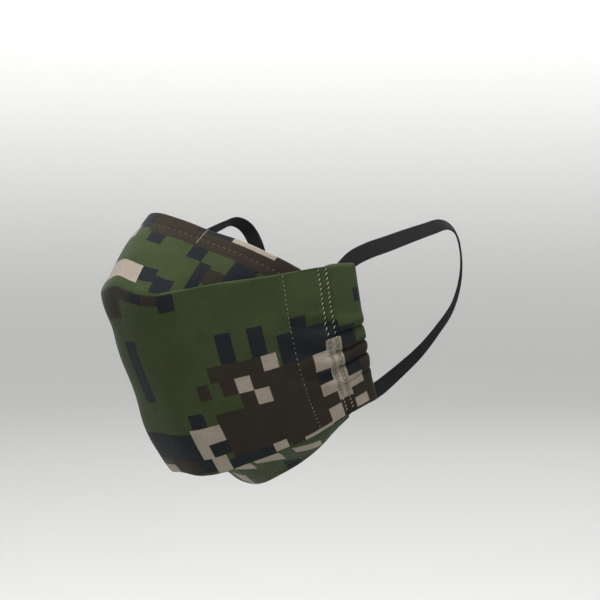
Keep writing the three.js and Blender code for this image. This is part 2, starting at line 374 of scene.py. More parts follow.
# %% Where the grid's lines lie on the cloth
PITCH = HALF_BLOCK / 4
HEM_FOLD, HEM_END = -50.0, -59.0        # the nose panel's top edge, and the turned hem's end
CHANNEL_SEAM, SECOND_SEAM = 106.6, 110.7
CURL_START, CURL_RADIUS = 125.1, 2.0    # where the side turns over into the channel's back
BACK_END = 144.0
LOWER_TUCK = 108.2

lines_u = np.arange(-141, 142) * PITCH
lines_v = PRINT_OFFSET + PITCH * np.arange(-58, 106)
lines_v = lines_v[(lines_v >= HEM_END) & (lines_v <= LOWER_TUCK + PITCH)]
print("cloth grid", len(lines_u), "by", len(lines_v))

# %% The nose panel's top edge and hidden valley
TOP_EDGE = [[0, 0, 0], [5, 0.4, -0.3], [10, 2.5, -1.8], [15, 6.5, -4], [21, 13, -7.5],
            [30, 20.5, -11.5], [42, 28, -16.5], [50.5, 35.5, -21.5], [54.5, 41, -25.5],
            [56.5, 45, -28.5], [60, 51, -39], [62.5, 57, -52]]
top_edge = whole_edge(TOP_EDGE)
top_middle = lengths_along(top_edge)[-1] / 2

u_on_panel = np.clip(lines_u, -CURL_START, CURL_START)
across = 0.5 + u_on_panel / (2 * HALF_WIDTH)
down = np.clip(lines_v, 0, CENTRE_HEIGHT) / CENTRE_HEIGHT
panel = through_rungs(centre_edges, across, down)

fine_down = np.linspace(0, 0.4, 81)
fine_panel = through_rungs(centre_edges, across, fine_down)
fine_out = outward_of(fine_panel)


def under_panel(column, share_down, depth):
    """The point below the centre panel's surface, at one column of the grid."""
    k = share_down / fine_down[-1] * (len(fine_down) - 1)
    k = int(round(min(k, len(fine_down) - 1)))
    return fine_panel[column, k] - depth * fine_out[column, k]


VALLEY_DEEPEST = 28.0       # at the channel, below the ridge
VALLEY_TUCK = 3.0           # behind the centre panel


def nose_line(column):
    """From the ridge, down into the valley and up to the top edge, at one column."""
    reach = min(abs(lines_u[column]), CHANNEL_SEAM)
    deep = VALLEY_DEEPEST * float(smooth_step(16, 116, reach)) * 1.1
    ridge = under_panel(column, 0, 0)
    side = math.copysign(1, lines_u[column])
    rim = at_length(top_edge, [top_middle + side * reach])[0]
    tucked = VALLEY_TUCK * float(smooth_step(18, 42, reach))
    steps_down = np.linspace(0, deep / CENTRE_HEIGHT, 6)[1:]
    valley = [under_panel(column, s, tucked * min(1, 3 * (i + 1) / 5))
              for i, s in enumerate(steps_down)]
    corner = valley[-1] if deep > 0.5 else ridge
    rise = np.linspace(0, 1, 12)[1:, None]
    crown = 2.2 * float(1 - smooth_step(20, 80, reach)) * np.sin(math.pi * rise)
    climb = corner + (rim - corner) * rise + crown * np.array([0.0, -0.5, 0.85])
    return np.concatenate([[ridge], valley if deep > 0.5 else np.zeros((0, 3)), climb])


# %% Lay the cloth on the panel, over the fold and up the nose
HEM_DEPTH = 2.2             # of the turned hem behind the nose panel, with the wire between


def lay_cloth():
    """Positions of the grid's points, before the channels are turned over."""
    grid = panel.copy()
    above = lines_v < 0
    for column in range(len(lines_u)):
        line = nose_line(column)
        length = lengths_along(line)[-1]
        share = np.minimum(-lines_v[above], 2 * -HEM_FOLD + lines_v[above]) / -HEM_FOLD
        grid[column, above] = at_length(line, share * length)
    return grid


def sink_hem_and_tuck(grid):
    """The top hem goes behind the nose panel, and the last rows curl in under the lower fold."""
    out = outward_of(panel)
    tuck = np.clip(lines_v - CENTRE_HEIGHT, 0, None)
    grid -= out * tuck[None, :, None]
    hem = lines_v < HEM_FOLD
    face = outward_of(grid[:, (lines_v >= HEM_FOLD) & (lines_v < -39)])
    inward = -face.mean(axis=1)
    sink = HEM_DEPTH * smooth_step(0, 1.6, HEM_FOLD - lines_v[hem])
    grid[:, hem] += inward[:, None] * sink[None, :, None]
    return grid


def blur_down(grid, sigma):
    """Each column smoothed along its length, with its two ends held."""
    reach = int(3 * sigma / PITCH) + 1
    weights = np.exp(-0.5 * (np.arange(-reach, reach + 1) * PITCH / sigma) ** 2)
    weights /= weights.sum()
    start = 2 * grid[:, :1] - grid[:, reach:0:-1]
    end = 2 * grid[:, -1:] - grid[:, -2:-reach - 2:-1]
    long = np.concatenate([start, grid, end], axis=1)
    count = grid.shape[1]
    return sum(w * long[:, k:k + count] for k, w in enumerate(weights))


cloth = sink_hem_and_tuck(lay_cloth())
crisp = blur_down(cloth, 0.9)
soft = blur_down(cloth, 2.3)
side_share = smooth_step(14, 44, np.abs(lines_u))[:, None]
near_ridge = smooth_step(-34, -16, lines_v) * smooth_step(30, 12, lines_v)
rounded = near_ridge[None, :] * (1 - side_share)
cloth = crisp + (soft - crisp) * rounded[:, :, None]

# %% [markdown]
# ## Gathers, puckers and slack
#
# The elastic bunches the middle of each channel into plump pillows with sharp creases between
# them. From the channel a few soft wrinkles run forward and die out. Sewing also draws cloth
# in: each row of stitches lies in a shallow groove with a pucker at every stitch. These are
# millimetre shapes that follow the cloth's own coordinates, so each is written as a height
# above the surface. A simulation would only find them by luck. The front is drawn flat below
# the upper fold and stands a little full above the chin, where the cloth is slack.

# %% Height of the cloth above its plain surface
def pillows(v):
    """Plump between creases about 11 mm apart: 1 on a pillow, 0 in a crease."""
    bent = v + 1.6 * np.sin(v * 0.21) + 0.8 * np.sin(v * 0.53 + 1)
    return np.abs(np.sin(math.pi * (bent - 4) / 10.6)) ** 0.6


def gather_strength(u, v):
    reach = smooth_step(101, 113, u)
    return reach * smooth_step(33, 42, v) * smooth_step(88, 68, v)


def cloth_height(u, v):
    """Millimetres above the plain surface; u is the distance from the mask's middle line."""
    height = 2.7 * gather_strength(u, v) * (pillows(v + 0.10 * (u - 110)) - 0.62)
    drawn = smooth_step(72, 104, u) * smooth_step(116, 106, u)
    drawn *= smooth_step(26, 40, v) * smooth_step(92, 70, v)
    height += 1.0 * drawn * np.sin(0.42 * (v + 0.28 * (106 - u)) + 0.8)
    height += 0.9 * smooth_step(109, 113, u) * smooth_step(127.5, 124, u)
    for seam, depth, width in ((CHANNEL_SEAM, 1.1, 1.0), (SECOND_SEAM, 1.1, 1.0), (88.0, 0.3, 1.4)):
        across_groove = np.exp(-((u - seam) / width) ** 2) * smooth_step(-1, 4, v)
        height -= depth * across_groove * (0.75 + 0.25 * np.cos(2 * math.pi * v / 3.3))
    height -= 0.22 * np.exp(-((v + 41.2) / 1.2) ** 2) * smooth_step(-55, -45, v) * (u < 100)
    front = smooth_step(52, 8, u)
    height -= 2.6 * front * smooth_step(4, 26, v) * smooth_step(76, 46, v)
    height += 2.6 * front * smooth_step(60, 88, v) * smooth_step(117, 97, v)
    height += 0.5 * np.sin(u * 0.062 + 0.9) * np.sin(v * 0.058 + 0.4) * smooth_step(0, 14, v)
    height += 0.42 * np.sin(u * 0.17 + v * 0.06) * np.sin(v * 0.11 - u * 0.04)
    return height


# %% [markdown]
# ## Shade in the creases
#
# Little light reaches the bottom of a crease, and the two rows of channel stitches pull the
# cloth into dark lines where it is gathered. Relief of 1 to 3 mm is too shallow to show
# this alone, so the print is darkened by the same shapes that make the creases. An ambient
# occlusion node could do it, but it would darken every fold alike.

# %% Darken the print in creases and along the channel's seams
CREASE_DARK, OPEN_SEAM_DARK, GATHERED_SEAM_DARK = 0.55, 0.10, 0.42
SEAM_SHADE_WIDTH, LEAST_LIGHT = 0.75, 0.3


def crease_shade(u, v):
    """The share of light that reaches the cloth's face: 1 on open cloth, less in a crease."""
    u = np.abs(u)
    gathered = gather_strength(u, v)
    shade = 1 - CREASE_DARK * gathered * (1 - pillows(v + 0.10 * (u - 110))) ** 1.5
    at_seams = OPEN_SEAM_DARK + GATHERED_SEAM_DARK * smooth_step(33, 42, v) * smooth_step(97, 80, v)
    for seam in (CHANNEL_SEAM, SECOND_SEAM):
        shade -= at_seams * np.exp(-((u - seam) / SEAM_SHADE_WIDTH) ** 2)
    return np.clip(shade, LEAST_LIGHT, 1)


print("light left in a gathered seam", round(float(crease_shade(CHANNEL_SEAM, 62)), 2))


# %% Raise the cloth and turn its sides over
def raise_cloth(grid):
    out = outward_of(grid)
    for _ in range(2):
        out = (np.roll(out, 1, 1) + 2 * out + np.roll(out, -1, 1)) / 4
    u, v = np.meshgrid(np.abs(lines_u), lines_v, indexing="ij")
    height = cloth_height(u, v)
    return grid + out * height[:, :, None], out


def turn_sides(grid, out):
    """Past the curl's start the cloth goes round a small bend and back, to make the channel."""
    for side in (-1, 1):
        edge = int(np.argmin(np.abs(lines_u - side * CURL_START)))
        behind = edge - side * 6
        along = grid[edge] - grid[behind]
        along -= (along * out[edge]).sum(-1, keepdims=True) * out[edge]
        along /= np.linalg.norm(along, axis=-1, keepdims=True)
        scallop = 1.3 * gather_strength(np.full_like(lines_v, 127.0), lines_v)
        scallop = (scallop * (pillows(lines_v + 1.6) - 0.55))[:, None]
        for column in range(len(lines_u)):
            past = side * lines_u[column] - CURL_START
            if past <= 0:
                continue
            turn = min(past / CURL_RADIUS, math.pi)
            back = max(past - math.pi * CURL_RADIUS, 0)
            fade = 1 if turn < math.pi else math.exp(-back / 5)
            forward = CURL_RADIUS * math.sin(turn) - back
            deep = CURL_RADIUS * (1 - math.cos(turn)) * 1.05
            grid[column] = (grid[edge] + along * (forward + scallop * math.sin(turn / 2) * fade)
                            - out[edge] * deep)
    return grid


cloth, cloth_out = raise_cloth(cloth)
cloth = turn_sides(cloth, cloth_out)
print("cloth with channels from", cloth.min((0, 1)).round(1), "to", cloth.max((0, 1)).round(1))


# %% [markdown]
# ## From a grid of points to a sheet
#
# A sheet begins as one flat layer of square faces. Solidify then gives it the cloth's
# thickness and closes its rim, so that the cut edges show as edges. Its inner face gets a second
# material, because printed cloth is paler on its wrong side. The print, with painted shade where
# a sheet is given it, is stored on each face's corners, and the position on the flat cloth as a
# UV map, which the weave follows wherever the cloth bends.

# %% Build a sheet
CLOTH_THICKNESS = 0.45
MM = 0.001


def sheet_piece(name, grid, kept, u, v, cells, thickness, finishes, shaded=None):
    """A printed sheet: grid points in mm, the faces to keep, and each point's cloth place."""
    rows = grid.shape[1]
    corner = np.arange(grid.shape[0] * rows).reshape(grid.shape[0], rows)
    quads = np.stack([corner[:-1, :-1], corner[:-1, 1:], corner[1:, 1:], corner[1:, :-1]], -1)
    quads = quads[kept]
    used, index = np.unique(quads, return_inverse=True)
    mesh = bpy.data.meshes.new(name)
    points = grid.reshape(-1, 3)[used] * MM
    mesh.from_pydata(points.tolist(), [], index.reshape(-1, 4).tolist())
    place = np.stack([u.ravel(), v.ravel()], -1)
    mesh.uv_layers.new(name="cloth_place").data.foreach_set(
        "uv", (place[quads.ravel()] / 100).astype(np.float32).ravel())
    if cells is not None:
        middle = place[quads].mean(axis=1)
        ink = INKS[ink_at(cells, middle[:, 0], middle[:, 1])]
        # painted shade: the print is darkened by the share of light that reaches into creases and
        # seams
        if shaded is not None:
            ink = ink * np.append(np.repeat(shaded(*middle.T)[:, None], 3, 1),
                                  np.ones((len(middle), 1)), axis=1)
        colours = mesh.color_attributes.new("print", "FLOAT_COLOR", "CORNER")
        colours.data.foreach_set("color", np.repeat(ink, 4, axis=0).astype(np.float32).ravel())
    mesh.polygons.foreach_set("use_smooth", [True] * len(mesh.polygons))
    piece = bpy.data.objects.new(name, mesh)
    bpy.context.scene.collection.objects.link(piece)
    for finish in finishes:
        mesh.materials.append(finish)
    thicken = piece.modifiers.new("thickness", "SOLIDIFY")
    thicken.thickness = thickness * MM
    thicken.offset = 0
    thicken.material_offset = len(finishes) - 1
    print(name, len(mesh.polygons), "faces")
    return piece


# %% [markdown]
# ## Camouflage cloth
#
# The cloth is a light, close-woven polyester and cotton. Up close it shows crossing yarns,
# specks where single yarns took less dye, and slow changes of shade from washing. It is matt,
# with a faint sheen from its nap. Two crossed wave textures on the cloth's own map make the
# yarns, and two noise textures make the specks and the shade. All of them multiply the print.

# %% Cloth finish
def cloth_finish(name, colour, roughness, sheen, yarns, lift, paler=0.0):
    """Woven cloth; colour is one colour, or None for the print with any painted shade; yarns are
    counted per 100 mm.
    """
    material, shader, add, join = start_material(name, roughness)
    shader.inputs["Sheen Weight"].default_value = sheen
    shader.inputs["Sheen Roughness"].default_value = 0.55
    shader.inputs["Specular IOR Level"].default_value = 0.15
    place = add("ShaderNodeUVMap", uv_map="cloth_place")
    tint = None
    if colour is None:
        tint = add("ShaderNodeVertexColor", layer_name="print").outputs["Color"]
    if paler:
        fade = add("ShaderNodeMix", data_type="RGBA")
        fade.inputs["Factor"].default_value = paler
        fade.inputs[7].default_value = linear(120, 122, 116)
        join(tint, fade.inputs[6])
        tint = fade.outputs[2]

    waves = []
    for direction in ("X", "Y"):
        wave = add("ShaderNodeTexWave", bands_direction=direction)
        wave.inputs["Scale"].default_value = yarns / 6.28
        wave.inputs["Distortion"].default_value = 0.5
        wave.inputs["Detail"].default_value = 1
        join(place.outputs["UV"], wave.inputs["Vector"])
        waves.append(wave.outputs["Fac"])
    weave = add("ShaderNodeMath", operation="MULTIPLY")
    join(waves[0], weave.inputs[0])
    join(waves[1], weave.inputs[1])

    specks = add("ShaderNodeTexNoise")
    specks.inputs["Scale"].default_value = 130
    specks.inputs["Detail"].default_value = 4
    shade = add("ShaderNodeTexNoise")
    shade.inputs["Scale"].default_value = 9
    shade.inputs["Detail"].default_value = 3
    for noise in (specks, shade):
        join(place.outputs["UV"], noise.inputs["Vector"])

    for source, darkest, lightest in ((weave.outputs[0], 0.92, 1.06),
                                      (specks.outputs["Fac"], 0.5, 1.5),
                                      (shade.outputs["Fac"], 0.78, 1.22)):
        span = add("ShaderNodeMapRange")
        span.inputs["To Min"].default_value = darkest
        span.inputs["To Max"].default_value = lightest
        join(source, span.inputs["Value"])
        scaled = add("ShaderNodeVectorMath", operation="SCALE")
        if tint is None:
            scaled.inputs[0].default_value = colour[:3]
        else:
            join(tint, scaled.inputs[0])
        join(span.outputs[0], scaled.inputs["Scale"])
        tint = scaled.outputs[0]
    join(tint, shader.inputs["Base Color"])

    fuzz = add("ShaderNodeMath", operation="MULTIPLY_ADD")
    fuzz.inputs[1].default_value = 0.6
    join(specks.outputs["Fac"], fuzz.inputs[0])
    join(weave.outputs[0], fuzz.inputs[2])
    bump = add("ShaderNodeBump")
    bump.inputs["Strength"].default_value = lift
    bump.inputs["Distance"].default_value = 0.00025
    join(fuzz.outputs[0], bump.inputs["Height"])
    join(bump.outputs["Normal"], shader.inputs["Normal"])
    return material


camo_cloth = cloth_finish("camo_cloth", None, 0.85, 0.06, 230, 0.6)
camo_wrong_side = cloth_finish("camo_cloth_wrong_side", None, 0.9, 0.08, 230, 0.6, paler=0.45)
lining_cloth = cloth_finish("lining_cloth", linear(42, 45, 50), 0.92, 0.12, 190, 0.8)
print("finishes", [m.name for m in (camo_cloth, camo_wrong_side, lining_cloth)])

# %% [markdown]
# ## Cut and hang the panels
#
# The nose panel stops at the channels, so the grid loses its upper corners there.

# %% The panel sheet
grid_u, grid_v = np.meshgrid(lines_u, lines_v, indexing="ij")
face_u = np.abs((grid_u[:-1, :-1] + grid_u[1:, 1:]) / 2)
face_v = (grid_v[:-1, :-1] + grid_v[1:, 1:]) / 2
NOSE_END = 97.0             # the nose panel's sides stop here, hidden behind the centre panel
wanted = (face_u < BACK_END) & ((face_v > PRINT_OFFSET - PITCH) | (face_u < NOSE_END))
# the panels' print gets painted shade in the gathers' creases and along the channel seams
panels = sheet_piece("panels_cloth", cloth, wanted, grid_u, grid_v, main_print,
                     CLOTH_THICKNESS, [camo_cloth, camo_wrong_side], crease_shade)
NOSE_BEND = {"start": (0, -0.0275, -0.041), "end": (0, -0.0275 - 0.173 * 0.020, -0.0213)}
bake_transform(panels)
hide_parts("center_panel_outer", "nose_panel_outer", "nose_wire_channel",
            "side_channel_left", "side_channel_right")

# %% The panels' lining
LINING_DEPTH = 1.05


def offset_inwards(grid, depth):
    out = outward_of(grid)
    for _ in range(6):
        out = (np.roll(out, 1, 1) + 2 * out + np.roll(out, -1, 1)) / 4
        out /= np.linalg.norm(out, axis=-1, keepdims=True)
    return grid - depth * out


lined = (face_u < CHANNEL_SEAM - 2) & (face_v > -40) & (face_v < 103)
lined &= (face_v > 2) | (face_u < NOSE_END - 6)
lining = sheet_piece("panels_lining", offset_inwards(cloth, LINING_DEPTH), lined, grid_u, grid_v,
                     None, 0.35, [lining_cloth])
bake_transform(lining)
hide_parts("center_panel_lining", "nose_panel_lining")

# %% [markdown]
# ## The chin panel
#
# The chin panel starts inside the lower fold, goes back under the chin and ends in a turned
# hem. It is cut from the same printed cloth, but the design runs slantwise on it, because it is
# a shaped piece.

# %% The chin panel's points
UNDER_CHIN = [[0, 40, -128], [10, 40, -127.5], [20, 43, -125.5], [32, 50, -121],
              [43, 57.5, -114.5], [51.5, 66, -106], [57, 74, -99]]
CHIN_EDGE = [[0, 60, -139], [10, 59.5, -137.5], [20, 61, -133], [32, 65.5, -125.5],
             [42, 69, -117], [49, 72.5, -108.5], [54.5, 77, -101.5]]
CHIN_TUCK, CHIN_SPAN = 2.4, 0.78
CHIN_HEIGHT, CHIN_HEM = 50.0, 7.0

FINE_PITCH = PITCH / 2
chin_u = np.arange(-146, 147) * FINE_PITCH
chin_v = np.arange(0, 111) * FINE_PITCH
chin_share = 0.5 + chin_u / (chin_u[-1] - chin_u[0])
start_across = 0.5 + (chin_share - 0.5) * CHIN_SPAN
near_fold = through_rungs(centre_edges, start_across, np.linspace(0.9, 1, 21))
start_row = 11
chin_start = near_fold[:, start_row] - CHIN_TUCK * outward_of(near_fold)[:, start_row]
chin_lines = [whole_edge(e) for e in (UNDER_CHIN, CHIN_EDGE)]
chin_rungs = np.stack([chin_start] + [at_length(e, chin_share * lengths_along(e)[-1])
                                      for e in chin_lines], axis=1)


def chin_cloth():
    """The chin panel, with its hem turned up inside it."""
    rows = np.minimum(chin_v, 2 * CHIN_HEIGHT - chin_v) / CHIN_HEIGHT
    columns = [catmull_rom(rung, 0.5) for rung in chin_rungs]
    grid = np.stack([at_length(c, rows * lengths_along(c)[-1]) for c in columns])
    u, v = np.meshgrid(chin_u, chin_v, indexing="ij")
    face = outward_of(grid[:, chin_v < CHIN_HEIGHT - 1])
    hem_inward = -face[:, -6:].mean(axis=1)
    hem = chin_v >= CHIN_HEIGHT
    sink = 1.1 * smooth_step(0, 1.4, chin_v[hem] - CHIN_HEIGHT)
    grid[:, hem] += hem_inward[:, None] * sink[None, :, None]
    slack = 0.8 * np.sin(u * 0.13 + 0.4) * smooth_step(6, 24, v) * smooth_step(52, 40, v)
    slack -= 0.25 * np.exp(-((v - 43.8) / 1.2) ** 2) * (0.7 + 0.3 * np.cos(2 * math.pi * u / 3.3))
    flat_out = np.concatenate([face, np.repeat(-hem_inward[:, None], len(chin_v)
                                               - face.shape[1], axis=1)], axis=1)
    return blur_down(grid + flat_out * slack[:, :, None], 1.4)


chin = chin_cloth()
print("chin cloth from", chin.min((0, 1)).round(1), "to", chin.max((0, 1)).round(1))

# %% The chin sheet and its lining
chin_grid_u, chin_grid_v = np.meshgrid(chin_u, chin_v, indexing="ij")
CHIN_PRINT = {
    BROWN: [(-6, 0, -3, 3), (13, 4, 16, 6)],
    NAVY: [(-3, 1, 1, 8), (9, 3.5, 11, 6), (16, 2, 19, 5)],
    TAN: [(1, 2, 6, 4.5), (6.5, 0, 9.5, 3), (11, 0, 14, 1.5), (2, 7, 4, 10)],
}
chin_print = printed_cells(9, [(CHIN_PRINT, (-24, 1)), (CHIN_PRINT, (0, 0))])
SLANT = math.radians(14)
down_chin = np.stack([lengths_along(column) for column in chin])
slanted_u = chin_grid_u * math.cos(SLANT) + down_chin * math.sin(SLANT)
slanted_v = down_chin * math.cos(SLANT) - chin_grid_u * math.sin(SLANT)
chin_faces = np.ones((len(chin_u) - 1, len(chin_v) - 1), bool)
CHIN_BEND = {"start": (0, 0.017, -0.129), "end": (0, 0.017 + 0.493 * 0.026, -0.1516)}

chin_sheet = sheet_piece("chin_cloth", chin, chin_faces, slanted_u, slanted_v,
                         chin_print, CLOTH_THICKNESS, [camo_cloth, camo_wrong_side])
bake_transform(chin_sheet)
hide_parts("chin_panel_outer", "chin_hem")

chin_face_v = (chin_grid_v[:-1, :-1] + chin_grid_v[1:, 1:]) / 2
chin_lined = (chin_face_v > 1) & (chin_face_v < CHIN_HEIGHT - CHIN_HEM - 1)
chin_lining = sheet_piece("chin_lining", offset_inwards(chin, 0.8), chin_lined, chin_grid_u,
                          chin_grid_v, None, 0.3, [lining_cloth])
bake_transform(chin_lining)
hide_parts("chin_panel_lining")

# %% [markdown]
# ## Stitches
#
# Pale thread holds the mask together. A twin-needle row closes each channel, a plain row runs a
# little in front of it, and rows hold the two hems. A short row across the nose hem stops the
# metal strip from sliding. Each visible stitch is its own short, round-ended piece of thread,
# laid on the cloth between two needle holes, so that rows stay crisp and follow every pucker.

# %% Thread
def thread_finish(name, darker, lighter):
    material, shader, add, join = start_material(name, 0.6)
    shader.inputs["Sheen Weight"].default_value = 0.3
    twist = add("ShaderNodeTexNoise")
    twist.inputs["Scale"].default_value = 900
    place = add("ShaderNodeTexCoord")
    join(place.outputs["Object"], twist.inputs["Vector"])
    shades = add("ShaderNodeValToRGB")
    shades.color_ramp.elements[0].color = darker
    shades.color_ramp.elements[1].color = lighter
    join(twist.outputs["Fac"], shades.inputs["Fac"])
    join(shades.outputs["Color"], shader.inputs["Base Color"])
    bump = add("ShaderNodeBump")
    bump.inputs["Strength"].default_value = 0.4
    bump.inputs["Distance"].default_value = 0.0001
    join(twist.outputs["Fac"], bump.inputs["Height"])
    join(bump.outputs["Normal"], shader.inputs["Normal"])
    return material


pale_thread = thread_finish("pale_thread", linear(88, 88, 74), linear(160, 158, 140))
olive_thread = thread_finish("olive_thread", linear(48, 48, 36), linear(82, 80, 64))


def on_grid(grid, us, vs, u, v):
    """The grid's point at a cloth place, between its four nearest points."""
    x = np.clip(np.interp(u, us, np.arange(len(us))), 0, len(us) - 1.001)
    y = np.clip(np.interp(v, vs, np.arange(len(vs))), 0, len(vs) - 1.001)
    i, j = int(x), int(y)
    a, b = x - i, y - j
    return ((1 - a) * (1 - b) * grid[i, j] + a * (1 - b) * grid[i + 1, j]
            + (1 - a) * b * grid[i, j + 1] + a * b * grid[i + 1, j + 1])


def stitch_points(start, end, out, thread):
    """Five rings of six points: a thin, round-ended length of thread that dips in at its ends."""
    along = end - start
    along /= np.linalg.norm(along)
    sideways = np.cross(out, along)
    rings = []
    for share, size, lift in ((0, 0.35, -0.12), (0.14, 0.85, 0.12), (0.5, 1, 0.24),
                              (0.86, 0.85, 0.12), (1, 0.35, -0.12)):
        middle = start + (end - start) * share + out * lift
        for k in range(6):
            angle = k * math.pi / 3
            rings.append(middle + thread / 2 * size
                         * (sideways * math.cos(angle) + out * math.sin(angle) * 0.8))
    return rings


def stitch_rows(name, rows, finish, thread):
    """Many stitches as one piece; each row is a list of (start, end, out), thread its width."""
    points, faces = [], []
    for start, end, out in (stitch for row in rows for stitch in row):
        first = len(points)
        points += stitch_points(start, end, out, thread)
        for ring in range(4):
            for k in range(6):
                a, b = first + ring * 6 + k, first + ring * 6 + (k + 1) % 6
                faces.append((a, a + 6, b + 6, b))
        faces.append(tuple(range(first, first + 6)))
        faces.append(tuple(range(first + 29, first + 23, -1)))
    mesh = bpy.data.meshes.new(name)
    mesh.from_pydata((np.array(points) * MM).tolist(), [], faces)
    mesh.polygons.foreach_set("use_smooth", [True] * len(mesh.polygons))
    mesh.materials.append(finish)
    piece = bpy.data.objects.new(name, mesh)
    bpy.context.scene.collection.objects.link(piece)
    print(name, sum(len(row) for row in rows), "stitches")
    return piece


def row_on(grid, us, vs, start, end, pitch, share=0.62, lean=0.0, lift=0.24):
    """Stitches along a straight row on the flat cloth, from one cloth place to another."""
    start, end = np.array(start, float), np.array(end, float)
    length = np.linalg.norm(end - start)
    along = (end - start) / length
    cross = np.array([-along[1], along[0]])
    row = []
    for k in range(int(length / pitch)):
        a = start + along * (k * pitch) - cross * lean / 2
        b = a + along * pitch * share + cross * lean
        p, q = (on_grid(grid, us, vs, *place) for place in (a, b))
        du = on_grid(grid, us, vs, a[0] + 0.8, a[1]) - on_grid(grid, us, vs, a[0] - 0.8, a[1])
        dv = on_grid(grid, us, vs, a[0], a[1] + 0.8) - on_grid(grid, us, vs, a[0], a[1] - 0.8)
        out = np.cross(dv, du)
        out /= np.linalg.norm(out)
        row.append((p + lift * out, q + lift * out, out))
    return row


# %% The rows of stitches
twin_rows, single_rows, strip_rows = [], [], []
for side in (-1, 1):
    for seam in (CHANNEL_SEAM, SECOND_SEAM):
        twin_rows.append(row_on(cloth, lines_u, lines_v, (side * seam, 1.5),
                                (side * seam, 105), 3.3, lean=0.9))
    single_rows.append(row_on(cloth, lines_u, lines_v, (side * 88, 1.5), (side * 88, 104), 3.0,
                              share=0.5, lift=0.1))
    strip_rows.append(row_on(cloth, lines_u, lines_v, (side * 29, -49.4), (side * 29, -37.5),
                             1.3, share=0.9))
hem_row = row_on(cloth, lines_u, lines_v, (-92, -41.2), (92, -41.2), 2.9, share=0.5, lift=0.1)
chin_row = row_on(chin, chin_u, chin_v, (-72, 43.8), (72, 43.8), 3.0, share=0.5, lift=0.1)

NOSE_BODIES, CHIN_BODIES = ("mask_body", "nose_panel"), ("mask_body", "chin_panel")
for name, rows, finish, thread, bodies, bend in (
        ("channel_stitches", twin_rows, pale_thread, 0.46, NOSE_BODIES, NOSE_BEND),
        ("side_stitches", single_rows, pale_thread, 0.22, NOSE_BODIES, NOSE_BEND),
        ("strip_stitches", strip_rows, pale_thread, 0.34, NOSE_BODIES, NOSE_BEND),
        ("nose_hem_stitches", [hem_row], olive_thread, 0.26, NOSE_BODIES, NOSE_BEND),
        ("chin_hem_stitches", [chin_row], olive_thread, 0.26, CHIN_BODIES, CHIN_BEND)):
    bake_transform(stitch_rows(name, rows, finish, thread))

# %% [markdown]
# ## The ear elastics
#
# Each ear elastic is a flat black braid, 8 mm wide, with fine ribs along it. It comes out of
# the channel's upper mouth, goes round the back of the ear and returns behind the channel's
# lower edge. A tube with a bevel would make it round, so a ribbed outline is swept along the
# route instead, ring by ring, and the outline turns so that its flat side lies on the head.
# Its hidden run and its sewn overlap inside the channel are made the same way.

# %% Elastic finish
def elastic_finish():
    material, shader, add, join = start_material("black_elastic", 0.72)
    shader.inputs["Specular IOR Level"].default_value = 0.2
    place = add("ShaderNodeUVMap", uv_map="strap_place")
    braid = add("ShaderNodeTexWave", bands_direction="DIAGONAL")
    braid.inputs["Scale"].default_value = 19
    braid.inputs["Distortion"].default_value = 0.6
    ribs = add("ShaderNodeTexWave", bands_direction="Y")
    ribs.inputs["Scale"].default_value = 26
    specks = add("ShaderNodeTexNoise")
    specks.inputs["Scale"].default_value = 160
    for texture in (braid, ribs, specks):
        join(place.outputs["UV"], texture.inputs["Vector"])
    knit = add("ShaderNodeMath", operation="MULTIPLY")
    join(braid.outputs["Fac"], knit.inputs[0])
    join(ribs.outputs["Fac"], knit.inputs[1])
    shades = add("ShaderNodeValToRGB")
    shades.color_ramp.elements[0].color = linear(7, 8, 10)
    shades.color_ramp.elements[1].color = linear(19, 20, 23)
    blend = add("ShaderNodeMath", operation="MULTIPLY_ADD")
    blend.inputs[1].default_value = 0.5
    join(specks.outputs["Fac"], blend.inputs[0])
    join(knit.outputs[0], blend.inputs[2])
    join(blend.outputs[0], shades.inputs["Fac"])
    join(shades.outputs["Color"], shader.inputs["Base Color"])
    bump = add("ShaderNodeBump")
    bump.inputs["Strength"].default_value = 0.8
    bump.inputs["Distance"].default_value = 0.0003
    join(blend.outputs[0], bump.inputs["Height"])
    join(bump.outputs["Normal"], shader.inputs["Normal"])
    return material


black_elastic = elastic_finish()

# %% Sweep a strap
ELASTIC_WIDTH, ELASTIC_THICK, RIBS = 8.0, 1.0, 7


def strap_outline():
    """Half-widths and heights round the strap: ribbed on both flat sides, rounded at the edges."""
    x = np.linspace(-1, 1, 6 * RIBS + 1)
    rib = 0.5 - 0.09 * (0.5 + 0.5 * np.cos(math.pi * (x + 1) * RIBS))
    edge = np.sqrt(np.clip(1 - np.abs(x) ** 14, 0.08, 1))
    top = np.stack([x * ELASTIC_WIDTH / 2, rib * edge * ELASTIC_THICK], -1)
    return np.concatenate([top, top[::-1] * [1, -1]])


